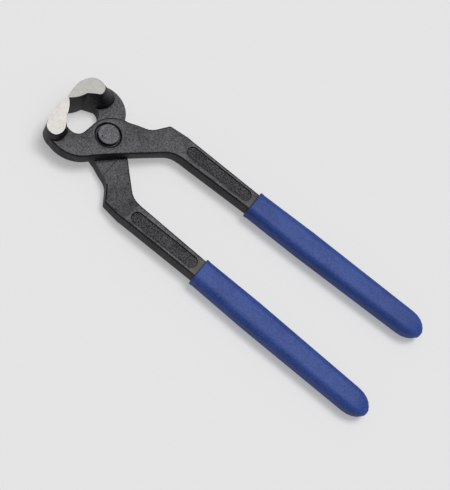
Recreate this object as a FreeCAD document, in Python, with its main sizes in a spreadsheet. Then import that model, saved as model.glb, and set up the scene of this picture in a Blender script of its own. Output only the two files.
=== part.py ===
import FreeCAD, Part
import Sketcher
import math
import os

# End pincers with a lapped, riveted joint and dipped grips, in millimetres.
# The tool lies flat: X runs from the jaws to the handles, Z is up along the rivet.
# The origin is on the rivet's axis, at the underside of the lower (rear) lever.
# The front lever is the upper one at the lap, with its jaw on the -Y side.

doc = FreeCAD.newDocument("end_pincers")
sheet = doc.addObject("Spreadsheet::Sheet", "Sizes")

size_table = [
    ("plate_thickness", 7.0, "each lever at the lap, so the head is twice this"),
    ("jaw_height", 19.0, "underside of the head to the ground jaw faces"),
    ("rein_thickness", 7.8, "neck, rein and tang, centred on the lap plane"),
    ("lap_gap", 0.5, "clearance at the edges of the lap recess"),
    ("shoulder_reach", 11.0, "rivet axis to the shoulder that stops the opening"),
    ("shoulder_step", 0.5, "height of that shoulder above the lap"),
    ("neck_slope_end", 34.0, "rivet axis to where the neck's inner face meets the rein's level"),
    ("opening_angle", 43.0, "degrees from closed to shoulder against flank"),
    ("ramp_start", 8.0, "rivet axis to where the outer face starts down to the neck"),
    ("ramp_end", 33.0, "rivet axis to where the outer face meets the rein's level"),
    ("eye_radius", 10.9, "head around the rivet, on the handle side"),
    ("eye_shift", 1.5, "centre of that round, towards the handles"),
    ("cheek_x", 11.9, "where the eye runs into the neck"),
    ("cheek_y", 16.7, "the same point, off the tool's axis"),
    ("elbow_x", 20.2, "outer corner of the neck"),
    ("elbow_y", 27.2, "the same corner, off the axis"),
    ("elbow_round", 0.9, "how far that corner is rounded, along the neck"),
    ("hollow_x", 16.2, "where the neck's outer edge turns in towards the eye"),
    ("hollow_y", 20.6, "the same point, off the axis"),
    ("hollow_middle_x", 14.5, "middle of that turn"),
    ("hollow_middle_y", 18.5, "the same point, off the axis"),
    ("elbow_run", 10.8, "that corner to where the rein's outer edge is straight"),
    ("bend_start", 27.6, "rivet axis to where the neck's inner edge starts to bend"),
    ("bend_end", 37.4, "rivet axis to where that bend ends"),
    ("bend_lead", 0.9, "middle of that bend, ahead of halfway"),
    ("bend_dip", 0.95, "middle of that bend, inside the rein's inner edge"),
    ("rein_inner", 17.75, "inner edge of the rein at its start, off the axis"),
    ("rein_outer", 29.35, "outer edge of the rein, off the axis"),
    ("rein_inner_end", 19.2, "inner edge of the rein where the grip starts"),
    ("grip_start", 77.5, "rivet axis to the mouth of the grip"),
    ("tang_end", 176.0, "rivet axis to the end of the tang inside the grip"),
    ("tang_end_centre", 26.7, "middle of the tang at its end, off the axis"),
    ("tang_end_width", 9.4, "width of the tang at its end"),
    ("panel_start", 34.6, "rivet axis to the near end of the rein panel"),
    ("panel_length", 40.4, "length of the recessed panel"),
    ("panel_width", 6.6, "width of the recessed panel"),
    ("panel_depth", 0.5, "depth of the recessed panel"),
    ("panel_offset", 24.2, "middle of the panel, off the axis"),
    ("jaw_reach", 27.2, "rivet axis to the meeting edge of the jaws"),
    ("jaw_belly", 0.25, "how far the jaw front is short of that at its middle"),
    ("jaw_bulge", 0.9, "how far the jaw front stands ahead of that edge"),
    ("land_width", 0.8, "flat of each jaw that meets the other"),
    ("jaw_gap", 0.05, "each jaw's land to the middle plane"),
    ("lip_side", 8.5, "half the span of the lips that reach the underside"),
    ("lip_inner", 20.6, "rivet axis to the inside of the lip at that span"),
    ("mouth_depth", 11.0, "side of the mouth, off the tool's axis"),
    ("mouth_back", 10.0, "rivet axis to the back of the mouth"),
    ("head_back_x", 25.2, "rivet axis to the outer corner of the head, ahead"),
    ("head_back_y", 19.1, "the same corner, off the axis"),
    ("front_head_side", 22.8, "widest point of the front lever's head, off the axis"),
    ("rear_head_side", 24.8, "widest point of the rear lever's head, off the axis"),
    ("front_head_side_x", 14.0, "rivet axis to the front lever's widest point"),
    ("rear_head_side_x", 16.3, "rivet axis to the rear lever's widest point"),
    ("flank_start_x", 1.2, "where the head's round meets the straight flank"),
    ("front_jaw_end", 21.3, "outer end of the front jaw's ground face"),
    ("front_jaw_heel", 17.2, "rivet axis to the back of that face"),
    ("front_base_heel", 13.4, "rivet axis to the back of the jaw at the lap plane"),
    ("front_base_end", 22.0, "outer end of the jaw at the lap plane"),
    ("rear_jaw_end", 18.7, "outer end of the rear jaw's ground face"),
    ("rear_jaw_heel", 15.5, "rivet axis to the back of that face"),
    ("rear_base_heel", 9.9, "rivet axis to the back of the jaw at the lap plane"),
    ("rear_base_end", 23.6, "outer end of the jaw at the lap plane"),
    ("jaw_corner", 3.6, "run of the jaw's round outer corner, across the tool"),
    ("jaw_corner_back", 2.0, "run of that corner, along the tool"),
    ("heel_round", 5.2, "run of the jaw's round heel, across the tool"),
    ("heel_round_back", 1.4, "run of that heel, along the tool"),
    ("jaw_inset", 0.6, "how much thicker the lip is at the ground face than at the lap"),
    ("neck_slope_lead", 1.0, "start of the neck's slope, ahead of the shoulder"),
    ("heel_hollow", 1.1, "hollow of the jaw's back wall at the lap plane"),
    ("shank_radius", 4.0, "rivet shank"),
    ("running_clearance", 0.05, "shank to bore, on the radius"),
    ("rivet_head_radius", 5.6, "round head of the rivet"),
    ("rivet_head_rise", 1.3, "head above the front lever's face"),
    ("rivet_head_round", 0.45, "rounded rim of the head"),
    ("rivet_seat_depth", 1.1, "spot face that the head sits in"),
    ("rivet_seat_gap", 0.95, "groove between head and spot face"),
    ("rivet_tail_radius", 5.4, "countersunk tail at the underside"),
    ("rivet_tail_depth", 2.0, "depth of that countersink"),
    ("dimple_radius", 0.45, "small pit in the rivet head"),
    ("dimple_depth", 0.35, "depth of that pit"),
    ("dimple_x", -1.7, "pit from the rivet axis, along the tool"),
    ("dimple_y", -3.2, "pit from the rivet axis, across the tool"),
    ("grip_width", 14.8, "grip just behind its collar"),
    ("grip_height", 10.8, "thickness of the grip"),
    ("grip_corner", 4.0, "rounding of the grip's section"),
    ("grip_swell", 0.3, "extra width at the palm"),
    ("palm_reach", 34.0, "mouth of the grip to that widest place"),
    ("grip_taper", 1.1, "how much narrower the grip is where its round end starts"),
    ("collar_waist", 0.6, "how much narrower the grip is at its collar than its width"),
    ("collar_lip", 0.35, "flare of the collar at the mouth of the grip"),
    ("collar_length", 2.2, "length of that flare"),
    ("grip_end", 186.5, "rivet axis to the round end of the grip"),
    ("grip_round", 10.5, "length of the rounded end"),
    ("grip_start_centre", 24.4, "middle of the grip at its mouth, off the axis"),
    ("grip_end_centre", 26.9, "middle of the grip at its end, off the axis"),
    ("nub_radius", 2.1, "drip nub at the end of the dipped grip"),
    ("nub_squat", 1.2, "how much deeper the nub sits than its own radius"),
    ("nub_length", 1.6, "how far the nub stands out"),
    ("nub_offset", 2.6, "nub from the middle of the grip's end, inwards and down"),
]


class Size:
    """A size with the text of its sheet expression and its number."""

    def __init__(self, text, number):
        self.text = text
        self.number = number

    def combined(self, sign, other, number):
        return Size("(" + self.text + sign + text_of(other) + ")", number)

    def __add__(self, other):
        return self.combined("+", other, self.number + number_of(other))

    def __sub__(self, other):
        return self.combined("-", other, self.number - number_of(other))

    def __mul__(self, other):
        return self.combined("*", other, self.number * number_of(other))

    def __truediv__(self, other):
        return self.combined("/", other, self.number / number_of(other))

    def __neg__(self):
        return Size("(0-" + self.text + ")", -self.number)


def number_of(value):
    return value.number if isinstance(value, Size) else float(value)


def text_of(value):
    return value.text if isinstance(value, Size) else repr(float(value))


def cosine(angle):
    return Size("cos(" + angle.text + "*1deg)", math.cos(math.radians(angle.number)))


def sine(angle):
    return Size("sin(" + angle.text + "*1deg)", math.sin(math.radians(angle.number)))


size = {}
for row, (alias, value, note) in enumerate(size_table, start=1):
    sheet.set("A" + str(row), alias)
    sheet.set("B" + str(row), str(value))
    sheet.setAlias("B" + str(row), alias)
    sheet.set("C" + str(row), note)
    size[alias] = Size("Sizes." + alias, float(value))
doc.recompute()


def new_body(label):
    body = doc.addObject("PartDesign::Body", label)
    body.Label = label
    return body


def origin_plane(body, role):
    return next(item for item in body.Origin.OriginFeatures if item.Role == role)


def attached_sketch(body, name, role, offset):
    """A sketch on one of the body's own planes, lifted off it by offset."""
    sketch = body.newObject("Sketcher::SketchObject", name)
    sketch.AttachmentSupport = [(origin_plane(body, role), "")]
    sketch.MapMode = "FlatFace"
    sketch.AttachmentOffset = FreeCAD.Placement(
        FreeCAD.Vector(0, 0, number_of(offset)), FreeCAD.Rotation())
    if isinstance(offset, Size):
        sketch.setExpression("AttachmentOffset.Base.z", offset.text)
    return sketch


def hold_point(sketch, index, which, x, y):
    """Ties a point of the sketch to its two distances from the origin."""
    for kind, value in (("DistanceX", x), ("DistanceY", y)):
        number = sketch.addConstraint(
            Sketcher.Constraint(kind, -1, 1, index, which, number_of(value)))
        if isinstance(value, Size):
            sketch.setExpression("Constraints[" + str(number) + "]", value.text)


def vector(x, y):
    return FreeCAD.Vector(number_of(x), number_of(y), 0)


def outline(sketch, steps):
    """A closed outline of (x, y) steps, reached straight, or (x, y, via_x, via_y), by an arc."""
    ends = [vector(step[0], step[1]) for step in steps]
    edges = []
    for number, step in enumerate(steps):
        start = ends[number - 1]
        if len(step) == 4:
            curve = Part.Arc(start, vector(step[2], step[3]), ends[number])
        else:
            curve = Part.LineSegment(start, ends[number])
        edges.append(sketch.addGeometry(curve, False))
    start_of = []
    end_of = []
    for number, step in enumerate(steps):
        first = sketch.getPoint(edges[number], 1)
        backwards = first.distanceToPoint(ends[number]) < first.distanceToPoint(ends[number - 1])
        start_of.append(2 if backwards else 1)
        end_of.append(1 if backwards else 2)
    for number, step in enumerate(steps):
        following = (number + 1) % len(steps)
        sketch.addConstraint(Sketcher.Constraint(
            "Coincident", edges[number], end_of[number], edges[following], start_of[following]))
        hold_point(sketch, edges[number], end_of[number], step[0], step[1])
    for number, step in enumerate(steps):
        if len(step) == 4:
            via = sketch.addGeometry(Part.Point(vector(step[2], step[3])), True)
            sketch.addConstraint(Sketcher.Constraint("PointOnObject", via, 1, edges[number]))
            hold_point(sketch, via, 1, step[2], step[3])


def add_feature(body, kind, name, sketch):
    feature = body.newObject("PartDesign::" + kind, name)
    feature.Profile = sketch
    return feature


def pad(body, name, steps, bottom, height, role="XY_Plane"):
    sketch = attached_sketch(body, name + "_outline", role, bottom)
    outline(sketch, steps)
    feature = add_feature(body, "Pad", name, sketch)
    feature.Length = number_of(height)
    feature.setExpression("Length", text_of(height))
    doc.recompute()
    return feature


def pocket(body, name, steps, level, depth, role="XY_Plane", upwards=False, both=False):
    """A pocket from a level, down unless upwards; checks that it did cut."""
    before = body.Shape.Volume
    sketch = attached_sketch(body, name + "_outline", role, level)
    outline(sketch, steps)
    feature = add_feature(body, "Pocket", name, sketch)
    feature.Length = number_of(depth)
    feature.setExpression("Length", text_of(depth))
    feature.Reversed = upwards
    feature.Midplane = both
    doc.recompute()
    if not body.Shape.Volume < before - 1e-3:
        raise RuntimeError(name + " cut nothing")
    return feature


def loft(body, name, sections, role, ruled):
    """A loft through (level, steps) sections."""
    sketches = []
    for number, (level, steps) in enumerate(sections):
        sketch = attached_sketch(body, name + "_section_" + str(number), role, level)
        outline(sketch, steps)
        sketches.append(sketch)
    feature = add_feature(body, "AdditiveLoft", name, sketches[0])
    feature.Sections = sketches[1:]
    feature.Ruled = ruled
    doc.recompute()
    return feature


def mirrored(steps, side):
    """The same outline with its Y distances on the other side when side is -1."""
    if side > 0:
        return steps
    return [tuple(-value if place % 2 else value for place, value in enumerate(step))
            for step in steps]


lap_level = size["plate_thickness"]
head_top = size["plate_thickness"] * 2
rein_half = size["rein_thickness"] / 2
flank_reach = size["shoulder_reach"] - size["lap_gap"]
flank_cos = cosine(size["opening_angle"])
flank_sin = sine(size["opening_angle"])
far = 260.0
over = 1.0
arc_cut = 1.0 - math.sqrt(0.5)


def flank_y(x, reach):
    """Height of the straight flank at x, for the lever whose handle is on the +Y side."""
    return (x * flank_cos - reach) / flank_sin


def lever_outline(head_side, head_side_x):
    """Plan of a lever, handle on the +Y side, jaw on the -Y side, without the jaw."""
    s = size
    tang_half = s["tang_end_width"] / 2
    eye_x = s["eye_shift"]
    eye = s["eye_radius"]
    turn = s["elbow_round"]
    bend_middle_x = (s["bend_start"] + s["bend_end"]) / 2 - s["bend_lead"]
    return [
        (-s["head_back_x"], -s["head_back_y"]),
        (s["flank_start_x"], flank_y(s["flank_start_x"], flank_reach),
         -head_side_x, -head_side),
        (s["bend_start"], flank_y(s["bend_start"], flank_reach)),
        (s["bend_end"], s["rein_inner"],
         bend_middle_x, s["rein_inner"] - s["bend_dip"]),
        (s["grip_start"], s["rein_inner_end"]),
        (s["tang_end"], s["tang_end_centre"] - tang_half),
        (s["tang_end"], s["tang_end_centre"] + tang_half),
        (s["grip_start"], s["rein_outer"]),
        (s["elbow_x"] + s["elbow_run"], s["rein_outer"]),
        (s["elbow_x"] + turn, s["elbow_y"] + turn * 0.28),
        (s["elbow_x"] - turn * 0.56, s["elbow_y"] - turn * 0.89,
         s["elbow_x"], s["elbow_y"] - turn * 0.17),
        (s["hollow_x"], s["hollow_y"]),
        (s["cheek_x"], s["cheek_y"],
         s["hollow_middle_x"], s["hollow_middle_y"]),
        (eye_x + eye * 0.17, eye * 1.19),
        (eye_x - eye, -eye * 0.13,
         eye_x - eye * 0.71, eye * 0.66),
        (-s["mouth_back"], -s["mouth_depth"] * 0.55),
        (-s["mouth_back"] - 5.0, -s["mouth_depth"],
         -s["mouth_back"] - 1.9, -s["mouth_depth"] * 0.9),
        (-s["lip_inner"] - 0.2, -s["lip_side"] - 0.6,
         -s["lip_inner"] + 2.2, -s["mouth_depth"] * 0.94),
        (-s["lip_inner"] - 3.0, -s["lip_side"] - 1.0),
        (-s["head_back_x"] + 0.6, -s["head_back_y"] + 1.6),
    ]


def jaw_front():
    """The front of a jaw, from the meeting edge to the span of the lip."""
    s = size
    bulge = s["jaw_reach"] + s["jaw_bulge"]
    return [
        (-s["jaw_reach"], -s["jaw_gap"]),
        (-bulge, -s["lip_side"],
         -bulge + s["jaw_belly"], -s["lip_side"] * 0.42),
    ]


def jaw_inside(inset):
    """The inside of a jaw, from the span of the lip back to the land."""
    s = size
    land = s["jaw_reach"] - s["land_width"]
    return [
        (-s["lip_inner"] - inset, -s["lip_side"]),
        (-land, -s["jaw_gap"],
         -s["lip_inner"] - inset * 0.5 - 2.5, -s["lip_side"] * 0.42),
    ]


def jaw_outline(end, heel, inset, corner_x, corner_y, hollow):
    """Plan of a jaw at one level: its front, round outer end, hollow heel and inside."""
    s = size
    corner = s["jaw_corner"]
    back = s["heel_round_back"]
    heel_round = s["heel_round"]
    bulge = s["jaw_reach"] + s["jaw_bulge"]
    return jaw_front() + [
        (-bulge + s["jaw_corner_back"], -end + corner,
         -bulge + s["jaw_corner_back"] / 4, (-end - s["lip_side"] + corner) / 2),
        (-heel - back, -end + corner / 4,
         -(bulge + heel) / 2 + back * 0.43, -end),
        (-heel, -end + heel_round,
         -heel - back * 0.18, -end + heel_round * 0.54),
        (-corner_x, -corner_y,
         -(heel + corner_x) / 2 + hollow, -(end + corner_y - heel_round) / 2 + hollow * 0.7),
    ] + jaw_inside(inset)


def lip_outline():
    """Plan of the lip alone, where it reaches below the front lever's plate."""
    return jaw_front() + jaw_inside(0.0)


def recess_outline(side):
    """Lap recess: all that lies ahead of the shoulder or inside the mating lever's flank."""
    reach = size["shoulder_reach"]
    slope_end_x = size["bend_start"] + over * 4
    corner_y = -flank_y(reach, reach)
    slope_end_y = -flank_y(slope_end_x, reach)
    steps = [
        (-far, -far),
        (slope_end_x, -far),
        (slope_end_x, slope_end_y),
        (reach, corner_y),
        (reach, far),
        (-far, far),
    ]
    return mirrored(steps, side)


def ramp_outline(level, neck_level, clear_level):
    """Side view of what is cut away outside the outer face, from the head to the tang."""
    return [
        (size["ramp_start"], level),
        (size["ramp_end"], neck_level),
        (far, neck_level),
        (far, clear_level),
        (size["ramp_start"], clear_level),
    ]


def neck_slope_outline(rein_level, outwards):
    """Side view of what is cut off the inner face of the neck, from the shoulder to the rein."""
    s = size
    start = s["shoulder_reach"] - s["neck_slope_lead"]
    foot = lap_level + s["shoulder_step"] * outwards
    return [
        (start, foot),
        (s["neck_slope_end"], rein_level,
         (start + s["neck_slope_end"]) / 2, foot * 0.72 + rein_level * 0.28),
        (s["neck_slope_end"], rein_level + over * outwards),
        (start, rein_level + over * outwards),
    ]


def make_lever(label, side, is_upper):
    """A forged lever: side is +1 where the handle is on +Y; the upper one carries its half-lap above."""
    prefix = "front_" if is_upper else "rear_"
    body = new_body(label)
    head_side = size[prefix + "head_side"]
    plan = mirrored(lever_outline(head_side, size[prefix + "head_side_x"]), side)
    rein_low = lap_level - rein_half
    rein_high = lap_level + rein_half
    if is_upper:
        low, high = rein_low, head_top
    else:
        low, high = 0.0, rein_high
    pad(body, label + "_blank", plan, low, high - low)
    if is_upper:
        pocket(body, label + "_recess", recess_outline(side), lap_level, rein_half + over)
        pocket(body, label + "_neck_slope", neck_slope_outline(rein_low, -1.0),
               0.0, far, role="XZ_Plane", both=True)
        pocket(body, label + "_ramp", ramp_outline(head_top, rein_high, head_top + over),
               0.0, far, role="XZ_Plane", both=True)
    else:
        pocket(body, label + "_recess", recess_outline(side), lap_level, rein_half + over,
               upwards=True)
        pocket(body, label + "_neck_slope", neck_slope_outline(rein_high, 1.0),
               0.0, far, role="XZ_Plane", both=True)
        pocket(body, label + "_ramp", ramp_outline(low, rein_low, -over),
               0.0, far, role="XZ_Plane", both=True)

    top_jaw = jaw_outline(size[prefix + "jaw_end"], size[prefix + "jaw_heel"], size["jaw_inset"],
                          size[prefix + "jaw_heel"] + 1.8, size["mouth_depth"] + 0.7,
                          size["heel_hollow"] * 0.25)
    base_jaw = jaw_outline(size[prefix + "base_end"], size[prefix + "base_heel"], 0.0,
                           size["mouth_back"] + 5.0, size["mouth_depth"], size["heel_hollow"])
    loft(body, label + "_jaw",
         [(lap_level, mirrored(base_jaw, side)), (size["jaw_height"], mirrored(top_jaw, side))],
         "XY_Plane", True)
    foot = lip_outline() if is_upper else base_jaw
    pad(body, label + "_lip", mirrored(foot, side), 0.0, lap_level)
    return body


def round_hole(body, name, radius, level, depth, x=0.0, y=0.0, upwards=False):
    """A round pocket, down from its level unless upwards."""
    before = body.Shape.Volume
    sketch = attached_sketch(body, name + "_outline", "XY_Plane", level)
    circle = sketch.addGeometry(
        Part.Circle(vector(x, y), FreeCAD.Vector(0, 0, 1), number_of(radius)), False)
    number = sketch.addConstraint(Sketcher.Constraint("Radius", circle, number_of(radius)))
    sketch.setExpression("Constraints[" + str(number) + "]", radius.text)
    if isinstance(x, Size):
        hold_point(sketch, circle, 3, x, y)
    else:
        sketch.addConstraint(Sketcher.Constraint("Coincident", circle, 3, -1, 1))
    feature = add_feature(body, "Pocket", name, sketch)
    feature.Length = number_of(depth)
    feature.setExpression("Length", text_of(depth))
    feature.Reversed = upwards
    doc.recompute()
    if not body.Shape.Volume < before - 1e-4:
        raise RuntimeError(name + " cut nothing")
    return feature


def panel_outline():
    """The recessed panel on a rein: two straight sides and two round ends."""
    s = size
    half = s["panel_width"] / 2
    near = s["panel_start"] + half
    far_end = s["panel_start"] + s["panel_length"] - half
    middle = s["panel_offset"]
    return [
        (near, middle + half),
        (near, middle - half, s["panel_start"], middle),
        (far_end, middle - half),
        (far_end, middle + half, s["panel_start"] + s["panel_length"], middle),
    ]


def bore_lever(body, label, side, is_upper):
    """The rivet's bore and seats, and the panels on both faces of the rein."""
    bore = size["shank_radius"] + size["running_clearance"]
    top = head_top if is_upper else lap_level
    round_hole(body, label + "_bore", bore, top, size["plate_thickness"])
    if is_upper:
        round_hole(body, label + "_seat", size["rivet_head_radius"] + size["rivet_seat_gap"],
                   head_top, size["rivet_seat_depth"])
    else:
        round_hole(body, label + "_tail_seat",
                   size["rivet_tail_radius"] + size["running_clearance"],
                   0.0, size["rivet_tail_depth"] + size["running_clearance"], upwards=True)
    for face, level, upwards in (("top", lap_level + rein_half, False),
                                 ("under", lap_level - rein_half, True)):
        pocket(body, label + "_" + face + "_panel", mirrored(panel_outline(), side),
               level, size["panel_depth"], upwards=upwards)


def revolved(body, name, steps):
    """A solid turned about the rivet axis from half its section."""
    sketch = attached_sketch(body, name + "_section", "XZ_Plane", 0.0)
    outline(sketch, steps)
    feature = add_feature(body, "Revolution", name, sketch)
    feature.ReferenceAxis = (sketch, ["V_Axis"])
    feature.Angle = 360.0
    doc.recompute()
    return feature


def make_rivet():
    """The rivet: round head in its seat, shank through both levers, peened tail."""
    s = size
    body = new_body("pivot_rivet")
    seat = head_top - s["rivet_seat_depth"]
    crown = head_top + s["rivet_head_rise"]
    rim = s["rivet_head_round"]
    head = s["rivet_head_radius"]
    revolved(body, "rivet_blank", [
        (0.0, crown),
        (0.0, 0.0),
        (s["rivet_tail_radius"], 0.0),
        (s["rivet_tail_radius"], s["rivet_tail_depth"]),
        (s["shank_radius"], s["rivet_tail_depth"]),
        (s["shank_radius"], seat),
        (head, seat),
        (head, crown - rim),
        (head - rim, crown, head - rim * arc_cut, crown - rim * arc_cut),
    ])
    round_hole(body, "dimple", s["dimple_radius"], crown, s["dimple_depth"],
               s["dimple_x"], s["dimple_y"])
    return body


def rounded_section(centre, width, height, corner):
    """Rounded rectangle across the grip: Y across the tool, Z up."""
    half_width = width / 2
    half_height = height / 2
    inner_y = half_width - corner
    inner_z = half_height - corner
    cut = corner * arc_cut
    left = centre - half_width
    right = centre + half_width
    low = lap_level - half_height
    high = lap_level + half_height
    return [
        (right, lap_level + inner_z),
        (centre + inner_y, high, right - cut, high - cut),
        (centre - inner_y, high),
        (left, lap_level + inner_z, left + cut, high - cut),
        (left, lap_level - inner_z),
        (centre - inner_y, low, left + cut, low + cut),
        (centre + inner_y, low),
        (right, lap_level - inner_z, right - cut, low + cut),
    ]


def tang_outline():
    """Plan of the tang inside the grip, the same as the lever's own."""
    s = size
    tang_half = s["tang_end_width"] / 2
    return [
        (s["grip_start"], s["rein_inner_end"]),
        (s["tang_end"], s["tang_end_centre"] - tang_half),
        (s["tang_end"], s["tang_end_centre"] + tang_half),
        (s["grip_start"], s["rein_outer"]),
    ]


def bind(feature, name, value):
    feature.setExpression(name, value.text)


def grip_centre(x, side):
    """Middle line of the grip, which spreads a little towards its end."""
    s = size
    span = s["grip_end"] - s["grip_start"]
    rise = s["grip_end_centre"] - s["grip_start_centre"]
    return (s["grip_start_centre"] + rise * (x - s["grip_start"]) / span) * side


def make_grip(label, side):
    """A dipped grip: flared collar, swollen palm, round end with its drip nub."""
    s = size
    body = new_body(label)
    width = s["grip_width"]
    height = s["grip_height"]
    corner = s["grip_corner"]
    lip = s["collar_lip"]
    start = s["grip_start"]
    behind_collar = start + s["collar_length"]
    round_start = s["grip_end"] - s["grip_round"]
    palm = start + s["palm_reach"]

    def section(x, share, extra):
        return (x, rounded_section(grip_centre(x, side), (width + extra) * share,
                                   height * share, corner * share))

    mouth_growth = lip * 2 - s["collar_waist"]
    mouth = (start, rounded_section(grip_centre(start, side), width + mouth_growth,
                                    height + mouth_growth, corner))
    neck = section(behind_collar, 1.0, -s["collar_waist"])
    shoulder = section(round_start, 1.0, -s["grip_taper"])
    loft(body, label + "_sleeve",
         [mouth, neck, section(palm, 1.0, s["grip_swell"]), shoulder], "YZ_Plane", True)
    blunt_share = 0.2
    dome = [shoulder]
    for reach in (0.3, 0.55, 0.75, 0.9, 1.0):
        share = max(math.sqrt(1.0 - reach * reach), blunt_share)
        dome.append(section(round_start + s["grip_round"] * reach, share, -s["grip_taper"]))
    loft(body, label + "_round_end", dome, "YZ_Plane", True)
    nub = body.newObject("PartDesign::AdditiveSphere", label + "_nub")
    nub.AttachmentSupport = [(origin_plane(body, "XY_Plane"), "")]
    nub.MapMode = "FlatFace"
    bind(nub, "Radius", s["nub_radius"])
    bind(nub, "AttachmentOffset.Base.x", s["grip_end"] + s["nub_length"] - s["nub_radius"] - s["nub_squat"])
    bind(nub, "AttachmentOffset.Base.y", grip_centre(s["grip_end"], side))
    bind(nub, "AttachmentOffset.Base.z", lap_level - s["nub_offset"])
    doc.recompute()
    pocket(body, label + "_socket", mirrored(tang_outline(), side), lap_level,
           s["rein_thickness"], both=True)
    return body


front_lever = make_lever("front_lever", 1, True)
rear_lever = make_lever("rear_lever", -1, False)
bore_lever(front_lever, "front_lever", 1, True)
bore_lever(rear_lever, "rear_lever", -1, False)
pivot_rivet = make_rivet()
front_grip = make_grip("front_grip", 1)
rear_grip = make_grip("rear_grip", -1)

bodies = [front_lever, rear_lever, pivot_rivet, front_grip, rear_grip]
doc.recompute()
for item in doc.Objects:
    if "Invalid" in item.State or "Error" in item.State:
        raise RuntimeError(item.Label + " did not recompute")
for body in bodies:
    shape = body.Shape
    if shape.isNull() or not shape.isValid() or len(shape.Solids) != 1:
        raise RuntimeError(body.Label + " is not one valid solid")

os.makedirs("parts", exist_ok=True)
for body in bodies:
    print(body.Label, round(body.Shape.Volume, 1), body.Shape.BoundBox)
    body.Shape.exportStep("parts/" + body.Label + ".step")
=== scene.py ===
import math

import bmesh
import bpy
from mathutils import Matrix, Vector


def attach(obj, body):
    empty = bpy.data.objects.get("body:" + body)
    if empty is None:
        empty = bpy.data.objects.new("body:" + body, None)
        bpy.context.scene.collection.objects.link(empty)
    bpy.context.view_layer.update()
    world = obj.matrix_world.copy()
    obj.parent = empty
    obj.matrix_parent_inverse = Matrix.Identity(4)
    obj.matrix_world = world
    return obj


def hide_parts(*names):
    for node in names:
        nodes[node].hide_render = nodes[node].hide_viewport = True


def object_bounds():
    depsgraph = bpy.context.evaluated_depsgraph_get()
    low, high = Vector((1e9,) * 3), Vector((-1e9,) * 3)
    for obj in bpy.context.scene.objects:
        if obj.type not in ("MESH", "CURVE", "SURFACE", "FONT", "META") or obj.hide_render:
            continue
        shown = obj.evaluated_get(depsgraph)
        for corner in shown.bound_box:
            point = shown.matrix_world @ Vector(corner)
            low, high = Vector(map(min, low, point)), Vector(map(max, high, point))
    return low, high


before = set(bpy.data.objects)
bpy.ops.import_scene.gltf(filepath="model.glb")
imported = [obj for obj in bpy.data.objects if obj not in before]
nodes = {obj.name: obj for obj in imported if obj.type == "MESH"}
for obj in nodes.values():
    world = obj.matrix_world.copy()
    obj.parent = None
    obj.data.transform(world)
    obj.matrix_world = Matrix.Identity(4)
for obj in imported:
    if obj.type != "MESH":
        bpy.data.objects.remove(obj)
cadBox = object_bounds()
scene = bpy.context.scene
mm = 0.001
white = "#ffffff"


def linearFromHex(code):
    # sRGB hex, as a paint chart gives it, to the linear values that the shader wants;
    # the numbers are those of the sRGB curve
    parts = [int(code[place:place + 2], 16) / 255 for place in (1, 3, 5)]
    linear = [part / 12.92 if part <= 0.04045 else ((part + 0.055) / 1.055) ** 2.4
              for part in parts]
    return linear + [1.0]


def addNode(tree, kind, settings=None, links=None):
    # one node: settings by property or socket name, links as {input: output socket}
    node = tree.nodes.new(kind)
    for name, value in (settings or {}).items():
        if isinstance(name, int) or name in node.inputs:
            node.inputs[name].default_value = value
        else:
            setattr(node, name, value)
    for name, source in (links or {}).items():
        tree.links.new(source, node.inputs[name])
    return node


def newMaterial(name):
    material = bpy.data.materials.new(name)
    material.use_nodes = True
    material.node_tree.nodes.clear()
    return material, material.node_tree


def perMetre(millimetres):
    # noise scale whose cells are this wide, on coordinates in metres
    return 1.0 / (millimetres * mm)


# camera
cameraSettings = {
    "target": (0.0900, 0.0, 0.0070),  # m, a point on the tool's axis, at the lap
    "tilt": 27.3,                     # degrees off straight down
    "turn": -2.0,                     # degrees about the rivet's direction
    "roll": 40.6,                     # degrees that the tool is turned in the picture
    "distance": 0.720,                # m
    "aside": (-0.00993, 0.00396),     # m, aim off the target, to the right and up
    "lens": 105.0,                    # mm
    "nearest": 0.01,                  # m, nothing closer is drawn
}


def placeCamera(settings):
    tilt, turn, roll = (math.radians(settings[name]) for name in ("tilt", "turn", "roll"))
    back = Vector((math.sin(tilt) * math.sin(turn),
                   -math.sin(tilt) * math.cos(turn),
                   math.cos(tilt)))
    level = Vector((math.cos(turn), math.sin(turn), 0.0))
    rise = back.cross(level)
    right = level * math.cos(roll) + rise * math.sin(roll)
    up = rise * math.cos(roll) - level * math.sin(roll)
    target = Vector(settings["target"])
    place = target + back * settings["distance"]
    aim = target + right * settings["aside"][0] + up * settings["aside"][1]
    back = (place - aim).normalized()
    right = up.cross(back).normalized()
    up = back.cross(right)
    data = bpy.data.cameras.new("photoCamera")
    data.lens = settings["lens"]
    data.clip_start = settings["nearest"]
    camera = bpy.data.objects.new("photoCamera", data)
    camera.matrix_world = Matrix((
        (right.x, up.x, back.x, place.x),
        (right.y, up.y, back.y, place.y),
        (right.z, up.z, back.z, place.z),
        (0.0, 0.0, 0.0, 1.0),
    ))
    scene.collection.objects.link(camera)
    scene.camera = camera
    return right, up


pictureRight, pictureUp = placeCamera(cameraSettings)
print("stage: camera placed")

# light
lightSettings = {
    "sunAlong": 0.24,       # how far the light leans to the picture's right
    "sunUpwards": 0.20,     # and to its top
    "sunStrength": 1.80,
    "sunSoftness": 22.0,    # degrees across, like a near softbox
    "skyLow": 0.22,         # studio walls
    "skyHigh": 1.65,        # softbox overhead
    "skySpread": 0.8,       # cosine of the angle where the softbox fades out
}


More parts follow.
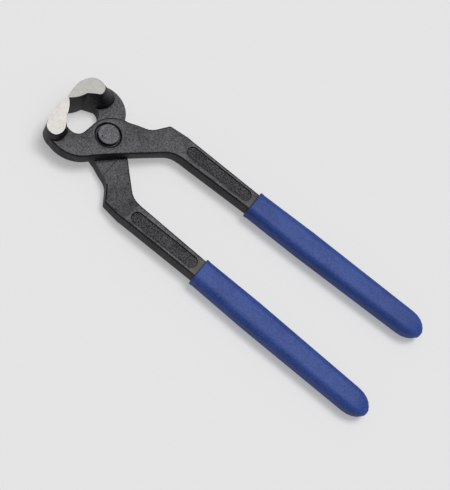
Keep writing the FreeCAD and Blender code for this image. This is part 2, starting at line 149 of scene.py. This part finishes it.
def setLight(settings):
    straightUp = Vector((0.0, 0.0, 1.0))
    towardsLight = (pictureRight * settings["sunAlong"] + pictureUp * settings["sunUpwards"]
                    + straightUp).normalized()
    data = bpy.data.lights.new("keyLight", "SUN")
    data.energy = settings["sunStrength"]
    data.angle = math.radians(settings["sunSoftness"])
    key = bpy.data.objects.new("keyLight", data)
    key.rotation_mode = "QUATERNION"
    key.rotation_quaternion = towardsLight.to_track_quat("Z", "Y")
    scene.collection.objects.link(key)

    world = bpy.data.worlds.new("studio")
    scene.world = world
    world.use_nodes = True
    tree = world.node_tree
    tree.nodes.clear()
    direction = addNode(tree, "ShaderNodeTexCoord")
    towardsSoftbox = (towardsLight + straightUp).normalized()
    lean = addNode(tree, "ShaderNodeVectorMath", {"operation": "DOT_PRODUCT", 1: towardsSoftbox},
                   {0: direction.outputs["Generated"]})
    level = addNode(tree, "ShaderNodeMapRange",
                    {"interpolation_type": "SMOOTHSTEP",
                     "From Min": settings["skySpread"], "From Max": 1.0,
                     "To Min": settings["skyLow"], "To Max": settings["skyHigh"]},
                    {"Value": lean.outputs["Value"]})
    glow = addNode(tree, "ShaderNodeBackground", {"Color": linearFromHex(white)},
                   {"Strength": level.outputs["Result"]})
    addNode(tree, "ShaderNodeOutputWorld", links={"Surface": glow.outputs["Background"]})
    scene.view_settings.view_transform = "Standard"


setLight(lightSettings)
print("stage: light")

# floor
floorSettings = {
    "colour": "#aeaeae",
    "roughness": 0.9,
    "sheen": 0.2,           # a board that hardly mirrors
    "glow": 0.336,          # light table under the board, so shadows stay pale
    "reach": 1.6,           # m each way from the rivet, past the picture's edges
    "drop": 0.02,           # mm, a hair under the steel, so the two faces don't coincide
}


def layFloor(settings):
    # matt painted board: one even pale grey, on which only the tool's soft shadow shows
    reach = settings["reach"]
    mesh = bpy.data.meshes.new("floor")
    mesh.from_pydata([(-reach, -reach, 0.0), (reach, -reach, 0.0),
                      (reach, reach, 0.0), (-reach, reach, 0.0)], [], [(0, 1, 2, 3)])
    floor = bpy.data.objects.new("floor", mesh)
    floor.location.z = -settings["drop"] * mm
    scene.collection.objects.link(floor)
    material, tree = newMaterial("matt studio board")
    surface = addNode(tree, "ShaderNodeBsdfPrincipled",
                      {"Base Color": linearFromHex(settings["colour"]),
                       "Roughness": settings["roughness"],
                       "Specular IOR Level": settings["sheen"],
                       "Emission Color": linearFromHex(white),
                       "Emission Strength": settings["glow"]})
    addNode(tree, "ShaderNodeOutputMaterial", links={"Surface": surface.outputs["BSDF"]})
    mesh.materials.append(material)


layFloor(floorSettings)
print("stage: floor")

# materials
oxideLook = {
    "tone": "#606063",
    "darkTone": "#313133",
    "roughness": 0.58,
    "roughnessBelow": 0.10,       # how far the grain takes the roughness down
    "roughnessAbove": 0.12,       # and up
    "grainWidth": 0.75,           # mm, blasted forging skin; the real 0.2 mm is too fine to show
    "grainSpan": (0.36, 0.68),    # noise where the skin is dark, and where a light speck is full
    "pitDepth": 0.05,             # mm
    "pitStrength": 0.7,
    "driftWidth": 7.0,            # mm, drifts of thinner and thicker oxide
    "driftSpan": (0.3, 0.7),      # noise where the oxide is thickest and thinnest
    "driftShade": (0.78, 1.12),   # and its tone there
    "paintedSideShade": 0.74,            # painted shade: tone of the upright faces, painted darker than the tops
    "sideSpan": (0.2, 0.9),       # how far up or down a side and a top look
    "hollowSamples": 8,           # rays that feel for corners and hollows
    "hollowShadeReach": 9.0,             # mm, how far into a deep hollow the painted shade reaches
    "hollowShadeSpan": (0.4, 0.85),      # openness at the bottom of such a hollow, and at its mouth
    "hollowShadeTone": 0.18,            # tone of the painted shade at its bottom
    # painted shade: near black painted into corners, grooves and the gaps between parts
    "paintedCreviceShade": "#060606",
    "creviceReach": 1.1,          # mm, how far the painted shade reaches in from a corner
    "creviceSpan": (0.5, 0.95),   # openness where the painted shade is full, and where it ends
    "primerTone": "#4b483c",      # the vinyl's primer creeps out of the grip as an olive stain
    "primerShare": 0.6,
    "primerFrom": 72.5,           # mm from the rivet's axis, where it begins to show
    "primerTo": 77.0,             # and where it is thickest
}


def makeOxideSteel(name, look):
    # carbon steel, drop forged, blasted and hot blacked: a dark metal skin, matt and finely pitted,
    # that catches the light as small specks; painted shade darkens its upright faces, deep hollows
    # and corners
    material, tree = newMaterial(name)
    place = addNode(tree, "ShaderNodeTexCoord")
    grain = addNode(tree, "ShaderNodeTexNoise",
                    {"Scale": perMetre(look["grainWidth"]), "Detail": 3.0, "Roughness": 0.6},
                    {"Vector": place.outputs["Object"]})
    drift = addNode(tree, "ShaderNodeTexNoise",
                    {"Scale": perMetre(look["driftWidth"]), "Detail": 4.0, "Roughness": 0.55},
                    {"Vector": place.outputs["Object"]})
    specks = addNode(tree, "ShaderNodeMapRange",
                     {"From Min": look["grainSpan"][0], "From Max": look["grainSpan"][1]},
                     {"Value": grain.outputs["Fac"]})
    drifts = addNode(tree, "ShaderNodeMapRange",
                     {"From Min": look["driftSpan"][0], "From Max": look["driftSpan"][1],
                      "To Min": look["driftShade"][0], "To Max": look["driftShade"][1]},
                     {"Value": drift.outputs["Fac"]})
    skin = addNode(tree, "ShaderNodeMix",
                   {"data_type": "RGBA",
                    6: linearFromHex(look["darkTone"]), 7: linearFromHex(look["tone"])},
                   {0: specks.outputs["Result"]})
    # painted shade: faces that stand upright are painted darker than faces that look up or down
    facing = addNode(tree, "ShaderNodeNewGeometry")
    upright = addNode(tree, "ShaderNodeSeparateXYZ",
                      links={"Vector": facing.outputs["True Normal"]})
    level = addNode(tree, "ShaderNodeMath", {"operation": "ABSOLUTE"}, {0: upright.outputs["Z"]})
    paintedSideMask = addNode(tree, "ShaderNodeMapRange",
                    {"From Min": look["sideSpan"][0], "From Max": look["sideSpan"][1],
                     "To Min": look["paintedSideShade"], "To Max": 1.0},
                    {"Value": level.outputs["Value"]})
    # painted shade: deep hollows are darkened in the colour itself
    hollow = addNode(tree, "ShaderNodeAmbientOcclusion",
                     {"samples": look["hollowSamples"], "only_local": True,
                      "Distance": look["hollowShadeReach"] * mm})
    paintedHollowShade = addNode(tree, "ShaderNodeMapRange",
                     {"From Min": look["hollowShadeSpan"][0], "From Max": look["hollowShadeSpan"][1],
                      "To Min": look["hollowShadeTone"], "To Max": 1.0},
                     {"Value": hollow.outputs["AO"]})
    driftAndPaintedSideShade = addNode(tree, "ShaderNodeMath", {"operation": "MULTIPLY"},
                    {0: drifts.outputs["Result"], 1: paintedSideMask.outputs["Result"]})
    # the oxide's drifts times the painted shade of upright faces and of hollows
    driftAndPaintedShade = addNode(tree, "ShaderNodeMath", {"operation": "MULTIPLY"},
                       {0: driftAndPaintedSideShade.outputs["Value"], 1: paintedHollowShade.outputs["Result"]})
    skinWithPaintedShade = addNode(tree, "ShaderNodeVectorMath", {"operation": "SCALE"},
                      {0: skin.outputs[2], "Scale": driftAndPaintedShade.outputs["Value"]})
    # painted shade: corners, grooves and the rivet's seat are darkened in the colour
    corner = addNode(tree, "ShaderNodeAmbientOcclusion",
                     {"samples": look["hollowSamples"], "only_local": True,
                      "Distance": look["creviceReach"] * mm})
    openness = addNode(tree, "ShaderNodeMapRange",
                       {"interpolation_type": "SMOOTHSTEP",
                        "From Min": look["creviceSpan"][0], "From Max": look["creviceSpan"][1]},
                       {"Value": corner.outputs["AO"]})
    creviceShaded = addNode(tree, "ShaderNodeMix",
                    {"data_type": "RGBA", 6: linearFromHex(look["paintedCreviceShade"])},
                    {0: openness.outputs["Result"], 7: skinWithPaintedShade.outputs["Vector"]})
    along = addNode(tree, "ShaderNodeSeparateXYZ", links={"Vector": place.outputs["Object"]})
    primed = addNode(tree, "ShaderNodeMapRange",
                     {"interpolation_type": "SMOOTHSTEP", "From Min": look["primerFrom"] * mm,
                      "From Max": look["primerTo"] * mm, "To Max": look["primerShare"]},
                     {"Value": along.outputs["X"]})
    colour = addNode(tree, "ShaderNodeMix",
                     {"data_type": "RGBA", 7: linearFromHex(look["primerTone"])},
                     {0: primed.outputs["Result"], 6: creviceShaded.outputs[2]})
    rough = addNode(tree, "ShaderNodeMapRange",
                    {"To Min": look["roughness"] - look["roughnessBelow"],
                     "To Max": look["roughness"] + look["roughnessAbove"]},
                    {"Value": grain.outputs["Fac"]})
    pits = addNode(tree, "ShaderNodeBump",
                   {"Strength": look["pitStrength"], "Distance": look["pitDepth"] * mm},
                   {"Height": grain.outputs["Fac"]})
    surface = addNode(tree, "ShaderNodeBsdfPrincipled", {"Metallic": 1.0},
                      {"Base Color": colour.outputs[2], "Roughness": rough.outputs["Result"],
                       "Normal": pits.outputs["Normal"]})
    addNode(tree, "ShaderNodeOutputMaterial", links={"Surface": surface.outputs["BSDF"]})
    return material


groundLook = {
    "tone": "#aeaba7",
    "roughness": 0.52,
    "roughnessBelow": 0.05,       # how far the marks take the roughness down
    "roughnessAbove": 0.12,       # and up
    "noiseSpan": (0.35, 0.65),    # noise where a mark or a bloom is full, and where it ends
    "scratchWidth": 0.55,         # mm between belt marks; real 120 grit is too fine to show
    "scratchLength": 0.35,        # share of that scale across the tool, the way the belt ran
    "scratchTurn": 0.9,           # radians, turns the noise, so the two jaws' marks differ
    "scratchShade": (0.86, 1.10),
    "scratchDepth": 0.02,         # mm
    "scratchStrength": 0.3,
    "stainWidth": 2.2,            # mm, faint rust bloom
    "stainShade": (0.93, 1.04),
}


def makeGroundSteel(name, look):
    # the same steel, belt ground bright: pale and satin, with short marks across the tool
    material, tree = newMaterial(name)
    place = addNode(tree, "ShaderNodeTexCoord")
    stretch = addNode(tree, "ShaderNodeMapping",
                      {"Scale": (1.0, look["scratchLength"], 1.0),
                       "Rotation": (0.0, 0.0, look["scratchTurn"])},
                      {"Vector": place.outputs["Object"]})
    marks = addNode(tree, "ShaderNodeTexNoise",
                    {"Scale": perMetre(look["scratchWidth"]), "Detail": 4.0},
                    {"Vector": stretch.outputs["Vector"]})
    stain = addNode(tree, "ShaderNodeTexNoise",
                    {"Scale": perMetre(look["stainWidth"]), "Detail": 4.0},
                    {"Vector": place.outputs["Object"]})
    shade = addNode(tree, "ShaderNodeMapRange",
                    {"From Min": look["noiseSpan"][0], "From Max": look["noiseSpan"][1],
                     "To Min": look["stainShade"][0], "To Max": look["stainShade"][1]},
                    {"Value": stain.outputs["Fac"]})
    streak = addNode(tree, "ShaderNodeMapRange",
                     {"From Min": look["noiseSpan"][0], "From Max": look["noiseSpan"][1],
                      "To Min": look["scratchShade"][0], "To Max": look["scratchShade"][1]},
                     {"Value": marks.outputs["Fac"]})
    both = addNode(tree, "ShaderNodeMath", {"operation": "MULTIPLY"},
                   {0: shade.outputs["Result"], 1: streak.outputs["Result"]})
    colour = addNode(tree, "ShaderNodeVectorMath",
                     {"operation": "SCALE", 0: linearFromHex(look["tone"])[:3]},
                     {"Scale": both.outputs["Value"]})
    rough = addNode(tree, "ShaderNodeMapRange",
                    {"To Min": look["roughness"] - look["roughnessBelow"],
                     "To Max": look["roughness"] + look["roughnessAbove"]},
                    {"Value": marks.outputs["Fac"]})
    relief = addNode(tree, "ShaderNodeBump",
                     {"Strength": look["scratchStrength"], "Distance": look["scratchDepth"] * mm},
                     {"Height": marks.outputs["Fac"]})
    surface = addNode(tree, "ShaderNodeBsdfPrincipled", {"Metallic": 1.0},
                      {"Base Color": colour.outputs["Vector"],
                       "Roughness": rough.outputs["Result"],
                       "Normal": relief.outputs["Normal"]})
    addNode(tree, "ShaderNodeOutputMaterial", links={"Surface": surface.outputs["BSDF"]})
    return material


vinylLook = {
    "tone": "#2a468f",
    "shade": "#133274",
    "roughness": 0.6,
    "ior": 1.53,
    "sheen": 0.36,                # a little under the usual 0.5, as the soft coat is dull
    "peelWidth": 1.0,             # mm, orange peel of the dipped coat
    "peelDepth": 0.06,            # mm
    "peelStrength": 0.6,
    "cloudWidth": 16.0,           # mm, slow changes in the coat's thickness
    "cloudShare": 0.6,            # weight of the clouds beside the peel
    "toneSpan": (0.62, 0.98),     # their sum where the coat shows its shade, and its full tone
}


def makeDippedVinyl(name, look):
    # plastisol PVC, hot dipped: a soft satin coat with a slight orange peel
    material, tree = newMaterial(name)
    place = addNode(tree, "ShaderNodeTexCoord")
    peel = addNode(tree, "ShaderNodeTexNoise",
                   {"Scale": perMetre(look["peelWidth"]), "Detail": 3.0, "Roughness": 0.6},
                   {"Vector": place.outputs["Object"]})
    cloud = addNode(tree, "ShaderNodeTexNoise",
                    {"Scale": perMetre(look["cloudWidth"]), "Detail": 3.0},
                    {"Vector": place.outputs["Object"]})
    mixed = addNode(tree, "ShaderNodeMath", {"operation": "MULTIPLY_ADD", 1: look["cloudShare"]},
                    {0: cloud.outputs["Fac"], 2: peel.outputs["Fac"]})
    contrast = addNode(tree, "ShaderNodeMapRange",
                       {"From Min": look["toneSpan"][0], "From Max": look["toneSpan"][1]},
                       {"Value": mixed.outputs["Value"]})
    colour = addNode(tree, "ShaderNodeMix",
                     {"data_type": "RGBA",
                      6: linearFromHex(look["shade"]), 7: linearFromHex(look["tone"])},
                     {0: contrast.outputs["Result"]})
    relief = addNode(tree, "ShaderNodeBump",
                     {"Strength": look["peelStrength"], "Distance": look["peelDepth"] * mm},
                     {"Height": peel.outputs["Fac"]})
    surface = addNode(tree, "ShaderNodeBsdfPrincipled",
                      {"Metallic": 0.0, "IOR": look["ior"], "Roughness": look["roughness"],
                       "Specular IOR Level": look["sheen"]},
                      {"Base Color": colour.outputs[2], "Normal": relief.outputs["Normal"]})
    addNode(tree, "ShaderNodeOutputMaterial", links={"Surface": surface.outputs["BSDF"]})
    return material


oxideSteel = makeOxideSteel("black oxide forged steel", oxideLook)
frontGround = makeGroundSteel("belt ground steel, front jaw", groundLook)
# the rear jaw's face is ground duller than the front one's, with marks of its own
rearGround = makeGroundSteel("belt ground steel, rear jaw",
                             dict(groundLook, tone="#979591", scratchTurn=-0.5))
# the panel floors miss the blasting: deeper pits, near black between their specks
panelSteel = makeOxideSteel("black oxide panel floor",
                            dict(oxideLook, tone="#4e4e50", darkTone="#0e0e0f", pitDepth=0.09))
# the die's radii are painted darker: a painted shade that draws a dark line around each face
paintedEdgeShadeSteel = makeOxideSteel("black oxide rounded edge, painted dark",
                           dict(oxideLook, tone="#404042", darkTone="#1d1d1e"))
# the set presses the rivet's head smoother, so it stands out paler on the plates
rivetSteel = makeOxideSteel("black oxide peened rivet",
                            dict(oxideLook, tone="#6e6e72", darkTone="#3d3d3f"))
dippedVinyl = makeDippedVinyl("dipped blue vinyl", vinylLook)
print("stage: materials")

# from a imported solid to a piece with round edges
skinSettings = {
    "weld": 0.002,          # mm, corners closer than this are one
    "flatWithin": 0.6,      # degrees, triangles that bend less make one flat face again
    "rimProfile": 0.5,      # a round section, neither sunk nor bulged
    "mostCorners": 4,       # faces with more are cut into triangles
    "sharpFrom": 32.0,      # degrees, edges that bend more are shaded crisp
}


def joinedMesh(source):
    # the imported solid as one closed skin, with its flat faces whole again
    bm = bmesh.new()
    bm.from_mesh(source.data)
    bmesh.ops.remove_doubles(bm, verts=bm.verts, dist=skinSettings["weld"] * mm)
    bmesh.ops.dissolve_limit(bm, angle_limit=math.radians(skinSettings["flatWithin"]),
                             verts=bm.verts, edges=bm.edges)
    return bm


def creases(bm, bend):
    # outward edges that bend at least this many degrees; inner corners stay as they are
    return [edge for edge in bm.edges
            if len(edge.link_faces) == 2 and edge.is_convex
            and edge.calc_face_angle(0.0) >= math.radians(bend)]


def roundOver(bm, edges, width, steps):
    edges = [edge for edge in edges if edge.is_valid]  # an earlier rounding may have used some up
    return bmesh.ops.bevel(bm, geom=edges, offset=width * mm, segments=steps,
                           profile=skinSettings["rimProfile"], affect="EDGES",
                           clamp_overlap=False, loop_slide=True)["faces"]


def finishPiece(bm, name, body, replaced, materials):
    bmesh.ops.triangulate(bm, faces=[face for face in bm.faces
                                     if len(face.verts) > skinSettings["mostCorners"]])
    mesh = bpy.data.meshes.new(name)
    bm.to_mesh(mesh)
    bm.free()
    if "custom_normal" in mesh.attributes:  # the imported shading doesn't fit the rounded skin
        mesh.attributes.remove(mesh.attributes["custom_normal"])
    for material in materials:
        mesh.materials.append(material)
    mesh.shade_smooth()
    mesh.set_sharp_from_angle(angle=math.radians(skinSettings["sharpFrom"]))
    piece = bpy.data.objects.new(name, mesh)
    scene.collection.objects.link(piece)
    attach(piece, body)
    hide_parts(replaced)


# levers
leverLook = {
    "rim": 0.65,            # mm, rounding of the forged edges
    "rimSteps": 3,
    "creaseFrom": 28.0,     # degrees, edges that bend more are rounded
    "groundBand": 0.3,      # mm under the top, where faces are ground and edges stay crisp
    "groundFacing": 0.9,    # how far up a ground face looks
    "lapLevel": 7.0,        # mm, the plane where the levers meet
    "lapKeep": 0.7,         # mm either side of it, where edges meet the other lever and stay crisp
    "panelLevel": 3.4,      # mm, panel floors from that plane
    "panelMatch": 0.05,     # mm off that level that still is the floor
    "panelSlack": 0.1,      # mm short of it that still is the panel
    "panelFacing": 0.99,    # how far up or down a panel floor looks
    "panelFrom": 34.0,      # mm from the rivet's axis, along the tool
    "panelTo": 75.6,
    "panelNear": 20.4,      # mm off the tool's axis
    "panelFar": 28.0,
    "panelRim": 0.16,       # mm, rounding of the panel's edge
}


def onPanel(point, look):
    # inside the stretch of the rein, and the levels, that its recessed panels take up
    offLap = abs(point.z - look["lapLevel"] * mm)
    return (look["panelFrom"] * mm < point.x < look["panelTo"] * mm
            and look["panelNear"] * mm < abs(point.y) < look["panelFar"] * mm
            and offLap > (look["panelLevel"] - look["panelSlack"]) * mm)


def roundForging(bm, groundFrom, look):
    # outer edges get the die's radius, and panel edges a smaller one
    outer = []
    fine = []
    for edge in creases(bm, look["creaseFrom"]):
        middle = (edge.verts[0].co + edge.verts[1].co) / 2
        atGround = max(vertex.co.z for vertex in edge.verts) > groundFrom
        atLap = abs(middle.z - look["lapLevel"] * mm) < look["lapKeep"] * mm
        if atGround or atLap:
            continue
        group = fine if onPanel(middle, look) else outer
        group.append(edge)
    rims = roundOver(bm, fine, look["panelRim"], look["rimSteps"])
    return rims + roundOver(bm, outer, look["rim"], look["rimSteps"])


def forgeLever(name, node, body, ground, look):
    bm = joinedMesh(nodes[node])
    groundFrom = cadBox[1][2] - look["groundBand"] * mm
    rims = roundForging(bm, groundFrom, look)
    skins = [oxideSteel, ground, panelSteel, paintedEdgeShadeSteel]
    for face in bm.faces:
        middle = face.calc_center_median()
        offLap = abs(middle.z - look["lapLevel"] * mm)
        atFloor = (abs(offLap - look["panelLevel"] * mm) < look["panelMatch"] * mm
                   and abs(face.normal.z) > look["panelFacing"])
        face.material_index = skins.index(oxideSteel)
        if middle.z > groundFrom and face.normal.z > look["groundFacing"]:
            face.material_index = skins.index(ground)
        if atFloor and onPanel(middle, look):
            face.material_index = skins.index(panelSteel)
    # painted shade: the rounded edges take the darker edge material
    for face in rims:
        if face.is_valid:
            face.material_index = skins.index(paintedEdgeShadeSteel)
    finishPiece(bm, name, body, node, skins)


forgeLever("frontForging", "front_lever", "front_half", frontGround, leverLook)
forgeLever("rearForging", "rear_lever", "rear_half", rearGround, leverLook)
print("stage: levers")

# grips
gripLook = {
    "rim": 0.85,            # mm, the dipped coat draws back to a round rim at its mouth
    "rimSteps": 4,
    "creaseFrom": 40.0,     # degrees, edges that bend more are rounded
}


def dipGrip(name, node, body, look):
    bm = joinedMesh(nodes[node])
    roundOver(bm, creases(bm, look["creaseFrom"]), look["rim"], look["rimSteps"])
    finishPiece(bm, name, body, node, [dippedVinyl])


dipGrip("frontDip", "front_grip", "front_half", gripLook)
dipGrip("rearDip", "rear_grip", "rear_half", gripLook)
print("stage: grips")

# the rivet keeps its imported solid
nodes["pivot_rivet"].data.materials.clear()
nodes["pivot_rivet"].data.materials.append(rivetSteel)
print("stage: rivet")
